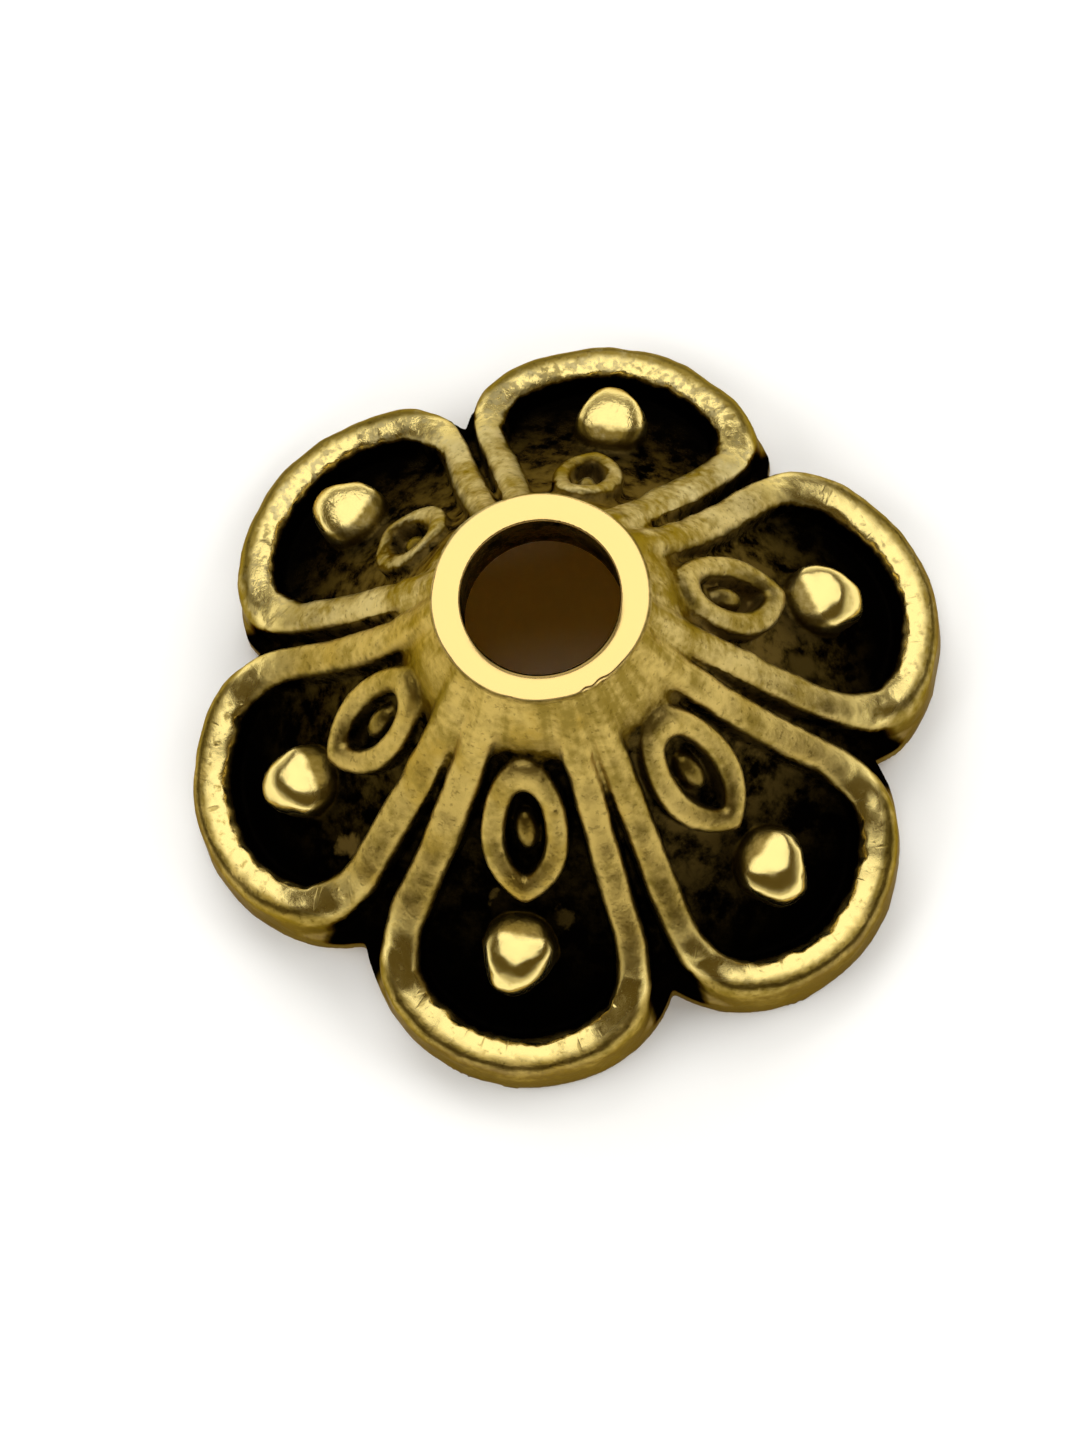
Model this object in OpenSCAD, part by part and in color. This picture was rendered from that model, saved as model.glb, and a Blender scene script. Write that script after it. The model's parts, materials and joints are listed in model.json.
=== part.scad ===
/* [Cap] */
// Radius from the axis to a petal tip, at the resting plane
tip_r = 5; // [4.9:0.05:5.1]
// Height from the resting plane to the top of the collar
cap_h = 4.85; // [4.7:0.05:5]
// Number of petals round the cap
petals = 6; // [5:1:7]
// Angle of the first petal from the X axis
first_petal = 30; // [0:5:55]

/* [Collar] */
// Radius of the hole for the thread or pin
bore_r = 1; // [0.9:0.05:1.05]
// Length of the hole's straight wall
bore_l = 0.75; // [0.6:0.05:0.8]
// Radius of the flat polished collar
collar_r = 1.36; // [1.34:0.01:1.4]
// Thickness of the collar's rim
collar_t = 0.24; // [0.2:0.02:0.3]
// Bevel on the collar's outer edge
collar_bevel = 0.04; // [0.02:0.01:0.06]
// How far the collar overhangs the neck below it
collar_lip = 0.06; // [0.04:0.01:0.08]

/* [Flare] */
// Radius of the concave outer flare, seen in section
flare_r = 9; // [8.6:0.1:9.4]
// Height of the flare's crest at the petal tip
tip_crest_h = 0.62; // [0.56:0.02:0.68]
// Distance of that crest inside the petal tip
tip_crest_in = 0.28; // [0.24:0.02:0.32]
// Radius of the hollow's concave wall, seen in section
hollow_flare_r = 6.5; // [6.3:0.1:7]
// Width of the rim that the petal tips rest on
rim_w = 0.55; // [0.45:0.05:0.6]
// Step between the bore and the top of the hollow
hollow_step = 0.06; // [0.04:0.01:0.08]

/* [Petals] */
// Radius of the round end of a petal, at the resting plane
lobe_r = 2.12; // [2.08:0.01:2.16]
// How much a petal's side leans in for each millimetre of height
draft = 0.14; // [0.1:0.01:0.16]
// Depth of the dark floor below the ridge tops
relief = 0.35; // [0.3:0.01:0.38]
// Width of the raised ridge round each petal
ridge_w = 0.44; // [0.4:0.01:0.48]
// Radius of the plain neck, where floors and grooves begin
neck_r = 1.78; // [1.74:0.01:1.84]
// Radius that rounds the two shoulders of a petal
shoulder_r = 1.1; // [1:0.05:1.15]
// Width of the groove between two petals at the neck
groove_start_w = 0.1; // [0.08:0.01:0.14]
// Width of that groove at the notch
groove_end_w = 0.3; // [0.24:0.02:0.34]

/* [Ornament] */
// Distance of the granules from the axis
granule_at = 3.72; // [3.68:0.01:3.76]
// Radius of a granule
granule_r = 0.43; // [0.4:0.01:0.46]
// Distance of the almond rings from the axis
eye_at = 2.5; // [2.48:0.01:2.54]
// Width of an almond ring
eye_w = 1.2; // [1.1:0.02:1.24]
// Length of an almond ring along the slope
eye_l = 2.1; // [1.9:0.05:2.15]
// Width of the almond ring's wall
eye_wall = 0.27; // [0.25:0.01:0.29]
// Radius of the small grain inside an almond ring
grain_r = 0.17; // [0.15:0.01:0.19]

/* [Hidden] */

// Sides of a whole turn, of a small ball, and of the arcs in a petal's plan
turn_fn = 180;
ball_fn = 48;
shoulder_steps = 5;
end_steps = 9;
// Extra length that carries a cut clear past what it cuts
over = 1;

gold = [0.72, 0.58, 0.28];
pitch = 360 / petals;
// The two arcs that bound an almond ring: their radius and how far each centre is off the middle line
eye_r = (eye_w * eye_w + eye_l * eye_l) / (4 * eye_w);
eye_offset = eye_r - eye_w / 2;
lobe_at = tip_r - lobe_r;
neck_h = cap_h - collar_t;

// Centre of the arc with radius r from a to b, on the side away from the axis
function arc_centre(a, b, r) =
    let (half = (b - a) / 2, rise = sqrt(r * r - half * half))
    (a + b) / 2 + [-half[1], half[0]] / norm(half) * rise;

// The outer flare runs from under the collar to the crest at a petal tip
flare_centre = arc_centre([collar_r - collar_lip, neck_h], [tip_r - tip_crest_in, tip_crest_h], flare_r);
// The hollow's wall runs from the bore to the inner edge of the rim
hollow_h = cap_h - bore_l;
hollow_centre = arc_centre([bore_r + hollow_step, hollow_h], [tip_r - rim_w, 0], hollow_flare_r);

// Height of the flare at a distance from the axis, sunk below the crest
function flare_z(at, sunk) =
    flare_centre[1] - sqrt(pow(flare_r + sunk, 2) - pow(at - flare_centre[0], 2));
// Angle of the crest's slope there, down from level
function flare_slope(at) = asin((flare_centre[0] - at) / flare_r);

// Points of an arc from one angle to another
function arc(centre, r, from, to, steps) =
    [for (i = [0:steps]) let (a = from + (to - from) * i / steps) centre + r * [cos(a), sin(a)]];

// Half of a petal's plan, along +X, set in from the ridge's outer edge: a straight side along the
// groove, a rounded shoulder and half of the round end, which stands out past the lobe by proud
notch_at = lobe_at * cos(pitch / 2) + sqrt(pow(lobe_r, 2) - pow(lobe_at * sin(pitch / 2), 2));
groove_turn = atan((groove_end_w - groove_start_w) / 2 / (notch_at - neck_r));
side_angle = pitch / 2 - groove_turn;
side_out = [-sin(side_angle), cos(side_angle)];
side_along = [cos(side_angle), sin(side_angle)];
side_start = neck_r * [cos(pitch / 2), sin(pitch / 2)] - groove_start_w / 2 * side_out;
function half_petal(inset, proud) =
    let (end_r = lobe_r - inset + proud,
         round_r = shoulder_r - inset,
         line = side_start - (inset + round_r) * side_out - [lobe_at, 0],
         along = -line * side_along + sqrt(pow(line * side_along, 2) - line * line + pow(end_r - round_r, 2)),
         centre = line + [lobe_at, 0] + along * side_along,
         turned = atan2(centre[1], centre[0] - lobe_at))
    concat([side_start - inset * side_out - over * side_along],
           arc(centre, round_r, 90 + side_angle, turned, shoulder_steps),
           [for (i = [1:end_steps]) let (a = turned * (1 - i / end_steps))
               [lobe_at, 0] + end_r * [cos(a), sin(a)]]);

// Turns its children to every petal
module each_petal() {
    for (i = [0:petals - 1]) rotate(first_petal + i * pitch) children();
}

// Whole plan of one petal
module petal_plan(inset, proud = 0) {
    half = half_petal(inset, proud);
    last = len(half) - 1;
    polygon(concat(half, [for (i = [1:last]) [half[last - i][0], -half[last - i][1]]]));
}

// Pointed oval between two arcs
module almond_plan(r) {
    intersection_for(side = [-1, 1])
        translate([0, side * eye_offset]) circle(r = r, $fn = turn_fn);
}

// Almond ring on each petal, square to the slope and reaching from below the floor to above the crest
module eye_rings() {
    each_petal()
        translate([eye_at, 0, flare_z(eye_at, 0)])
            rotate([0, flare_slope(eye_at), 0])
                translate([0, 0, -2 * relief])
                    linear_extrude(4 * relief)
                        difference() {
                            almond_plan(eye_r);
                            almond_plan(eye_r - eye_wall);
                        }
}

// Plan of all that stands up to the crest except the almond rings: the neck and the ridges
module raised_plan() {
    circle(r = neck_r, $fn = turn_fn);
    each_petal()
        difference() {
            petal_plan(0, over / 4);
            petal_plan(ridge_w);
        }
}

// Body of revolution below the outer flare, sunk below the crest and reaching down to a height
module flare_body(sunk, bottom) {
    rotate_extrude($fn = turn_fn)
        difference() {
            translate([0, bottom]) square([tip_r + over / 2, neck_h - bottom]);
            translate(flare_centre) circle(r = flare_r + sunk, $fn = 2 * turn_fn);
        }
}

// Outline of the six lobes, leaning in towards the top
module lobes_body() {
    cylinder(r = lobe_at, h = cap_h, $fn = turn_fn);
    each_petal()
        translate([lobe_at, 0, 0]) cylinder(r1 = lobe_r, r2 = lobe_r - draft * cap_h, h = cap_h, $fn = turn_fn);
}

// Dark floors of the petals and the grooves between them
module recesses() {
    difference() {
        translate([0, 0, -over])
            linear_extrude(cap_h + over)
                difference() {
                    circle(r = tip_r + over / 4, $fn = turn_fn);
                    raised_plan();
                }
        flare_body(relief, -2 * over);
        eye_rings();
    }
}

// Flat collar with a beveled outer edge
module collar() {
    rotate_extrude($fn = turn_fn)
        polygon([[0, neck_h - collar_lip], [collar_r - collar_lip / 2, neck_h - collar_lip],
                 [collar_r, neck_h], [collar_r, cap_h - collar_bevel],
                 [collar_r - collar_bevel, cap_h], [0, cap_h]]);
}

// One granule near each petal tip and one grain inside each almond ring
module granules() {
    each_petal() {
        translate([granule_at, 0, flare_z(granule_at, relief)]) sphere(r = granule_r, $fn = ball_fn);
        translate([eye_at, 0, flare_z(eye_at, relief)]) sphere(r = grain_r, $fn = ball_fn);
    }
}

// Hollow underneath and the bore that leads up out of it
module hollow() {
    rotate_extrude($fn = turn_fn)
        difference() {
            translate([0, -over]) square([tip_r, hollow_h + over]);
            translate(hollow_centre) circle(r = hollow_flare_r, $fn = 2 * turn_fn);
        }
    translate([0, 0, hollow_h - over]) cylinder(r = bore_r, h = bore_l + 2 * over, $fn = turn_fn);
}

module bead_cap() {
    color(gold)
        difference() {
            union() {
                intersection() {
                    difference() {
                        flare_body(0, 0);
                        recesses();
                    }
                    lobes_body();
                }
                collar();
                granules();
            }
            hollow();
        }
}

bead_cap();
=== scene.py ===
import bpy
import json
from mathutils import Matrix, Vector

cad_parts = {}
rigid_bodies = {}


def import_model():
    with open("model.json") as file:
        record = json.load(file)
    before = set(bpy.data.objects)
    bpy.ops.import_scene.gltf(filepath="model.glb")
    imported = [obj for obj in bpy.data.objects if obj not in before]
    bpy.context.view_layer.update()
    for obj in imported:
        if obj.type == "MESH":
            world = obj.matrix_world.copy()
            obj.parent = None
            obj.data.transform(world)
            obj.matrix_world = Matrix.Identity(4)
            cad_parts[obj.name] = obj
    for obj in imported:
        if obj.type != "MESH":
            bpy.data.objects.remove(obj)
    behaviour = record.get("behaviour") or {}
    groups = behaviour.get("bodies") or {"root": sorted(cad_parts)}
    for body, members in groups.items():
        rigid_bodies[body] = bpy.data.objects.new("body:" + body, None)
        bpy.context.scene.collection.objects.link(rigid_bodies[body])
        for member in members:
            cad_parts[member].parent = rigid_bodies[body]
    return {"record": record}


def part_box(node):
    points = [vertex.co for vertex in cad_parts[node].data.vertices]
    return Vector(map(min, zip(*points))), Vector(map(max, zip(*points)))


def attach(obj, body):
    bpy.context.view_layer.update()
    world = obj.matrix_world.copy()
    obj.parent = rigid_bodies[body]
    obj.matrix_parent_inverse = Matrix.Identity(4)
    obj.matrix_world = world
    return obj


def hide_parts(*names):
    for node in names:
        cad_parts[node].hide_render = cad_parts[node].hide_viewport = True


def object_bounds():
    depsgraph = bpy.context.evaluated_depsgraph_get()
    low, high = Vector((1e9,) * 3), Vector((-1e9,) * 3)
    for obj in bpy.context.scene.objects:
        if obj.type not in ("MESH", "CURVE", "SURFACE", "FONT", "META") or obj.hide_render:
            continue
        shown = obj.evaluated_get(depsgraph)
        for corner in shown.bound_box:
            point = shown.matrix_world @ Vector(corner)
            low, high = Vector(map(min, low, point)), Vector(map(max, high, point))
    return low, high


bl_info = {
    "name": "Cast bead cap",
    "version": (1, 0, 0),
    "blender": (4, 5, 0),
    "location": "View3D > Sidebar > Bead Cap",
    "description": "Models an antiqued flower bead cap with ridged petals, almond rings and granules",
    "category": "Add Mesh",
}

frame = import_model()

import json
import math
import random

import bmesh
import bpy
import numpy as np
from bpy.props import FloatProperty, FloatVectorProperty, IntProperty, PointerProperty
from bpy.types import Operator, Panel, PropertyGroup
from mathutils import Color, Matrix, Vector, noise
from mathutils.bvhtree import BVHTree

# The cap is modelled at one unit to the millimetre and brought to metres when it is cast
MM = 0.001
# The solid's node, the box round the CAD, the bore in the record and the upper corner of the solid's box
NODE = "bead_cap"
CAD_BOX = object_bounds()
BORE = next(m for m in frame["record"]["mounts"] if m["name"] == "bore")
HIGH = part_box(NODE)[1]


def length(name, description, mm, digits=5):
    """A size in metres, given here in millimetres."""
    return FloatProperty(name=name, description=description, default=mm * MM, min=0.0,
                         unit="LENGTH", precision=digits)


def degrees(name, description, value):
    """An angle, given here in degrees."""
    return FloatProperty(name=name, description=description, default=math.radians(value), subtype="ANGLE")


def colour(name, description, rgb):
    """A linear colour."""
    return FloatVectorProperty(name=name, description=description, default=rgb, subtype="COLOR",
                               size=3, min=0.0, max=1.0)


class CapSizes(PropertyGroup):
    """Sizes of the whole cap."""
    tip_radius: length("Tip radius", "From the axis to a petal tip", HIGH.y / MM)
    height: length("Height", "From the petal tips to the collar's top", HIGH.z / MM)
    bore_radius: length("Bore radius", "Radius of the hole", BORE["dims"]["r_mm"])
    bore_length: length("Bore length", "Length of the hole's straight wall", BORE["dims"]["length_mm"])
    collar_radius: length("Collar radius", "Radius of the flat collar", 1.385)
    collar_thick: length("Collar thickness", "Height of the collar's rim", 0.24)
    collar_lip: length("Collar lip", "How far the collar overhangs the neck", 0.085)
    flare_radius: length("Flare radius", "Radius of the concave flare in section", 9.0)
    tip_crest_height: length("Tip crest height", "Height of the flare's crest at a petal tip", 0.62)
    tip_crest_inset: length("Tip crest inset", "Distance of that crest inside the tip", 0.28)
    hollow_radius: length("Hollow wall radius", "Radius of the hollow's wall in section", 6.5)
    hollow_step: length("Hollow step", "Step between the bore and the hollow", 0.06)
    rim_width: length("Rim width", "Width of the rim under a petal tip", 0.55)


class PetalSizes(PropertyGroup):
    """Sizes of one petal."""
    count: IntProperty(name="Petals", description="Number of petals", default=6, min=6, max=6)
    first_angle: degrees("First petal", "Angle of the first petal from the X axis", 30)
    lobe_radius: length("Lobe radius", "Radius of a petal's round end", 2.12)
    relief: length("Relief", "Depth of the floor below the ridge tops", 0.35)
    side_width: length("Side width", "Width of the ridge along a petal's sides", 0.51)
    tip_width: length("Tip width", "Width of the ridge round a petal's tip", 0.42)
    neck_radius: length("Neck radius", "Radius where floors and grooves reach their full depth", 1.95)
    shoulder_radius: length("Shoulder radius", "Radius that rounds a petal's shoulders", 1.1)
    groove_start: length("Groove start", "Width of the groove where it begins", 0.0)
    groove_end: length("Groove end", "Width of the groove at the notch", 0.30)


class OrnamentSizes(PropertyGroup):
    """Sizes of the granules and the almond rings."""
    granule_distance: length("Granule distance", "From the axis to a granule", 3.72)
    granule_radius: length("Granule radius", "Radius of a granule", 0.47)
    granule_tail: length("Granule tail", "How far a granule's outer end is drawn out", 0.14)
    granule_lumps: length("Granule lumps", "How far a granule's surface is beaten in and out", 0.06)
    ring_distance: length("Ring distance", "From the axis to an almond ring's middle", 2.5)
    ring_width: length("Ring width", "Width of an almond ring", 1.2)
    ring_length: length("Ring length", "Length of an almond ring along the slope", 2.15)
    ring_wall: length("Ring wall", "Width of an almond ring's wall at its sides", 0.34)
    grain_width: length("Grain width", "Width of the grain inside a ring", 0.32)
    grain_length: length("Grain length", "Length of that grain along the slope", 0.62)


class CastSettings(PropertyGroup):
    """How the casting is skinned and worn."""
    voxel: length("Voxel", "Size of the voxels that fuse the pieces", 0.034, 6)
    softening: IntProperty(name="Softening", description="Passes that round the cast edges", default=5, min=0)
    triangles: IntProperty(name="Triangles", description="About how many triangles the casting keeps",
                           default=180000, min=20000, max=195000)
    unevenness: length("Unevenness", "Depth of the broad unevenness of the hand-made model", 0.03, 6)
    bends: length("Bends", "How far the ridges' edges wander", 0.05, 6)
    pitting: length("Pitting", "Depth of the fine cast grain", 0.012, 6)
    nicks: length("Nicks", "How far the inner edges of the tip ridges wander", 0.045, 6)


class MetalLook(PropertyGroup):
    """Colours and finish of the metal."""
    gold: colour("Gold", "Rubbed metal of the tips and the granules", (0.98, 0.79, 0.30))
    collar: colour("Collar", "Polished metal of the collar", (0.98, 0.71, 0.27))
    tan: colour("Tan", "Dull metal of the ridges and the neck", (0.59, 0.43, 0.12))
    # Pale tan and honey are painted light by side: paler, greyer petals on the far side and warmer ones on
    # the near side.
    pale: colour("Pale tan", "Dull metal of the petals with the most tarnish", (0.68, 0.57, 0.27))
    honey: colour("Honey", "Warm patches on the petals with the least tarnish", (0.38, 0.24, 0.02))
    # Olive is tarnish, and is also painted shade on the ridges' sunk edges and the tips' outer bevels.
    olive: colour("Olive", "Tarnish on the dull metal", (0.27, 0.19, 0.035))
    # Brown is patina, and is also painted shade just below the ridges' crests and round the painted shade of
    # the bore, the notches and the ornaments' feet.
    brown: colour("Brown", "Patina that thins out at the edges of the recesses", (0.10, 0.06, 0.008))
    # Patina is also painted shade on the bore's wall and at the notches.
    patina_and_shade: colour("Patina", "Dark colour in the recesses", (0.0018, 0.0013, 0.0008))
    thin_patina: colour("Thin patina", "Olive patches on the floors", (0.21, 0.14, 0.035))
    # Wall is painted shade: darker brown low on the petals' outer walls, near the floor.
    wall: colour("Wall", "Browned metal of the petals' outer walls", (0.23, 0.155, 0.05))
    sheen: colour("Sheen", "Tint of the metal at a grazing angle", (0.60, 0.50, 0.32))
    inside: colour("Inside", "Dull metal of the hollow and the bore", (0.92, 0.58, 0.05))


class StudioSettings(PropertyGroup):
    """Floor, lights and camera."""
    tilt: degrees("Tilt", "Angle of the view from straight down", 19)
    side: degrees("Side", "Direction of the camera round the cap, from the X axis", 294)
    near_angle: degrees("Near angle", "Angle in the picture of the side nearest the camera", 284)
    distance: length("Distance", "From the camera to the cap", 95.0)
    frame_width: length("Frame width", "Width of the picture at the resting plane", 14.06)
    off_centre: length("Off centre", "How far right of the picture's middle the cap stands", 0.38)
    floor_colour: colour("Floor", "Pale floor", (0.92, 0.92, 0.91))
    horizon: colour("Horizon", "Studio wall near the horizon", (0.62, 0.59, 0.50))
    dim: colour("Dim", "Unlit studio between the horizon and the softbox", (0.078, 0.055, 0.012))


def read_places(mesh):
    """Places of a mesh's vertices as rows of an array."""
    flat = np.empty(len(mesh.vertices) * 3)
    mesh.vertices.foreach_get("co", flat)
    return flat.reshape(-1, 3)


def write_places(mesh, places):
    """Moves a mesh's vertices to the rows of an array."""
    mesh.vertices.foreach_set("co", places.ravel())


def polar(places):
    """Distance from the axis and angle of each row."""
    return np.hypot(places[:, 0], places[:, 1]), np.arctan2(places[:, 1], places[:, 0])


def step_up(values, low, high):
    """Smooth step from 0 at low to 1 at high."""
    share = np.clip((values - low) / (high - low), 0.0, 1.0)
    return share * share * (3 - 2 * share)


def petal_offsets(angle, petal):
    """Angle from the middle of the nearest petal."""
    half_pitch = math.pi / petal.count
    return (angle - petal.first_angle + half_pitch) % (2 * half_pitch) - half_pitch


def petals_past(angle, petal):
    """How many petals on from the first one an angle is."""
    return (angle - petal.first_angle) / (2 * math.pi / petal.count) % petal.count


# The shallow flutes on the neck: where they begin under the collar, where they are at their full depth
# and give way to the floors, and that depth, in millimetres
FLUTE_START = 1.1
FLUTE_END = 1.5
FLUTE_DEPTH = 0.05
# How much further out a floor reaches its full depth where the metal has filled it most, in millimetres
HUB_FILL = 0.9


class Flare:
    """The concave bell under the relief, in millimetres: an arc turned about the Z axis."""

    def __init__(self, cap):
        self.radius = cap.flare_radius / MM
        self.neck = Vector((cap.collar_radius - cap.collar_lip, cap.height - cap.collar_thick)) / MM
        tip = Vector((cap.tip_radius - cap.tip_crest_inset, cap.tip_crest_height)) / MM
        self.centre = arc_centre(self.neck, tip, self.radius)

    def height(self, r, sunk=0.0):
        """Height of the crest, or of a surface sunk below it, at a distance from the axis."""
        return self.centre.y - math.sqrt((self.radius + sunk) ** 2 - (r - self.centre.x) ** 2)

    def relief(self, r, petal, fill=0.0):
        """Depth of the floors below the crest, which go over into shallow flutes on the neck."""
        flute = FLUTE_DEPTH * float(step_up(r, FLUTE_START, FLUTE_END))
        full = petal.neck_radius / MM + fill * HUB_FILL
        return flute + (petal.relief / MM - flute) * float(step_up(r, FLUTE_END, full))

    def slope(self, r):
        """Angle of the crest down from level."""
        return math.asin((self.centre.x - r) / self.radius)

    def lay(self, x, y, up, lean=1.0):
        """A point of the flat plan laid on the crest, raised along a mix of vertical and normal."""
        r = math.hypot(x, y)
        slope = self.slope(r)
        away = Vector((x / r, y / r, 0.0)) * math.sin(slope) + Vector((0.0, 0.0, math.cos(slope)))
        drop = Vector((0.0, 0.0, 1.0 / math.cos(slope)))
        return Vector((x, y, self.height(r))) + up * drop.lerp(away, lean)


def arc_centre(a, b, radius):
    """Centre of the arc from a to b, on the side away from the axis."""
    half = (b - a) / 2
    rise = math.sqrt(radius ** 2 - half.length_squared)
    return (a + b) / 2 + Vector((-half.y, half.x)).normalized() * rise


def hollow_centre(cap):
    """Centre of the hollow's wall in section, in millimetres."""
    roof = Vector((cap.bore_radius + cap.hollow_step, cap.height - cap.bore_length)) / MM
    rim = Vector((cap.tip_radius - cap.rim_width, 0.0)) / MM
    return arc_centre(roof, rim, cap.hollow_radius / MM)


class Lobe:
    """The round end of a petal that points along +X, in millimetres."""

    def __init__(self, cap, petal):
        self.radius = petal.lobe_radius / MM
        self.middle = cap.tip_radius / MM - self.radius

    def reach(self, off):
        """Distance from the axis to its outline, at an angle off the petal's middle line."""
        return self.middle * math.cos(off) + math.sqrt(self.radius ** 2 - (self.middle * math.sin(off)) ** 2)


def ray(angle):
    """The unit vector of a plane at an angle."""
    return Vector((math.cos(angle), math.sin(angle)))


def arc_points(centre, radius, start, end, steps):
    """Points of an arc in a plane, both ends included."""
    return [centre + radius * ray(start + (end - start) * i / steps) for i in range(steps + 1)]


def straight(a, b, steps):
    """Points from a towards b, without b."""
    return [a.lerp(b, i / steps) for i in range(steps)]


# Where a petal's plan is closed under the collar, how much further out that is for each millimetre of
# inset, and where its groove has its first width, in millimetres
PETAL_HUB = 1.2
HUB_INSET = 0.1
PETAL_FOOT = 2.0
# How many steps the plan has along a side, round a shoulder, round half of the end and across the hub
PETAL_STEPS = {"side": 34, "shoulder": 14, "end": 26, "hub": 10}


def petal_loop(cap, petal, inset):
    """Closed plan of one petal along +X, set in from the ridge's outer edge, in millimetres."""
    lobe = Lobe(cap, petal)
    half_pitch = math.pi / petal.count
    start, end = petal.groove_start / MM, petal.groove_end / MM
    side = half_pitch - math.atan((end - start) / 2 / (lobe.reach(half_pitch) - PETAL_FOOT))
    out, along = Vector((-math.sin(side), math.cos(side))), ray(side)
    foot = PETAL_FOOT * ray(half_pitch) - start / 2 * out

    rounding = petal.shoulder_radius / MM - inset
    middle = Vector((lobe.middle, 0.0))
    line = foot - (inset + rounding) * out - middle
    reach = -line.dot(along) + math.sqrt(line.dot(along) ** 2 - line.length_squared
                                         + (lobe.radius - inset - rounding) ** 2)
    shoulder = line + middle + reach * along
    turned = math.atan2(shoulder.y, shoulder.x - lobe.middle)
    edge = foot - inset * out
    hub = edge + along * ((PETAL_HUB + HUB_INSET * inset - edge.x) / along.x)
    half = (straight(hub, shoulder + rounding * out, PETAL_STEPS["side"])
            + arc_points(shoulder, rounding, math.pi / 2 + side, turned, PETAL_STEPS["shoulder"])[:-1]
            + arc_points(middle, lobe.radius - inset, turned, 0.0, PETAL_STEPS["end"]))
    other = [Vector((p.x, -p.y)) for p in reversed(half[:-1])]
    closing = straight(other[-1], half[0], PETAL_STEPS["hub"])[1:]
    return half + other + closing


def deselect():
    """Leaves nothing selected, so that the next operator acts on its own piece alone."""
    for obj in bpy.context.selected_objects:
        obj.select_set(False)


def take(obj):
    """Makes a piece the selected and active one."""
    deselect()
    obj.select_set(True)
    bpy.context.view_layer.objects.active = obj


def apply_modifier(obj, kind, **settings):
    """Adds a modifier, sets it up and applies it."""
    take(obj)
    modifier = obj.modifiers.new(kind.title(), kind)
    for name, value in settings.items():
        setattr(modifier, name, value)
    bpy.ops.object.modifier_apply(modifier=modifier.name)


# Size of the features of each cloud texture, in millimetres
CLOUD_SIZES = {"bends": 0.45, "lumps": 0.24, "broad": 0.9, "fine": 0.16}


def displace(obj, name, strength):
    """Moves a surface in and out by a cloud texture, by half of the strength in metres at the most."""
    texture = bpy.data.textures.get(name) or bpy.data.textures.new(name, "CLOUDS")
    texture.noise_scale = CLOUD_SIZES[name]
    apply_modifier(obj, "DISPLACE", texture=texture, strength=strength / MM)


def add_primitive(kind, name, **sizes):
    """Adds a named primitive with nothing else selected."""
    deselect()
    getattr(bpy.ops.mesh, f"primitive_{kind}_add")(**sizes)
    bpy.context.object.name = name
    return bpy.context.object


def sweep_ring(name, loops):
    """A closed ring: each loop of points is extruded from the one before, and the ends are bridged."""
    count = len(loops[0])
    ring = add_primitive("circle", name, vertices=count)
    bpy.ops.object.mode_set(mode="EDIT")
    bpy.ops.mesh.select_mode(type="EDGE")
    bpy.ops.mesh.select_all(action="SELECT")
    for step, loop in enumerate(loops):
        if step:
            bpy.ops.mesh.extrude_region_move()
        mesh = bmesh.from_edit_mesh(ring.data)
        mesh.verts.ensure_lookup_table()
        for vert, point in zip(mesh.verts[len(mesh.verts) - count:], loop):
            vert.co = point
        bmesh.update_edit_mesh(ring.data)
    bpy.ops.mesh.select_all(action="DESELECT")
    bpy.ops.mesh.select_non_manifold(extend=False, use_wire=False, use_multi_face=False,
                                     use_non_contiguous=False, use_verts=False)
    bpy.ops.mesh.bridge_edge_loops()
    bpy.ops.mesh.select_all(action="SELECT")
    bpy.ops.mesh.normals_make_consistent(inside=False)
    bpy.ops.object.mode_set(mode="OBJECT")
    return ring


# Vertices closer than this are merged where a spin closes, in millimetres
SPIN_WELD = 0.0005


def spin_profile(name, points, steps):
    """A body of revolution: the closed profile of (distance, height) points is spun round the Z axis."""
    body = add_primitive("circle", name, vertices=len(points))
    for vert, (r, z) in zip(body.data.vertices, points):
        vert.co = (r, 0.0, z)
    bpy.ops.object.mode_set(mode="EDIT")
    bpy.ops.mesh.select_all(action="SELECT")
    bpy.ops.mesh.spin(steps=steps, angle=2 * math.pi, center=(0, 0, 0), axis=(0, 0, 1))
    bpy.ops.mesh.select_all(action="SELECT")
    bpy.ops.mesh.remove_doubles(threshold=SPIN_WELD)
    bpy.ops.mesh.normals_make_consistent(inside=False)
    bpy.ops.object.mode_set(mode="OBJECT")
    return body


# How each petal of the hand-made model differs, from the first petal on: its turn in degrees, how much
# further out its almond ring and its granule sit, in millimetres, how large its ring is and what share
# of that length it keeps, and its shares of metal that fills the floor at the hub, of tarnish with painted
# light by side (paler on the far petals, warmer on the near ones) and of polish
PETAL_COLUMNS = ("turn", "ring", "granule", "ring_size", "ring_length", "fill", "tarnish", "polish")
PETAL_ROWS = (
    (-0.6, -0.03, -0.06, 1.00, 1.00, 0.5, 0.6, 0.9),
    (1.0, 0.16, 0.22, 0.80, 1.00, 0.8, 1.0, 0.3),
    (-1.8, 0.22, 0.22, 0.98, 0.68, 0.9, 0.8, 0.5),
    (0.0, 0.06, -0.06, 1.00, 1.00, 0.5, 0.3, 0.8),
    (1.8, -0.02, -0.04, 1.00, 1.00, 0.0, 0.1, 1.0),
    (-1.3, 0.00, 0.02, 1.03, 1.00, 0.3, 0.4, 1.0),
)
PETAL_DIFFERENCES = [dict(zip(PETAL_COLUMNS, row)) for row in PETAL_ROWS]
# Between which shares of the way from one petal to the next their differences are mixed
PETAL_BLEND = (0.2, 0.8)


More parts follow.
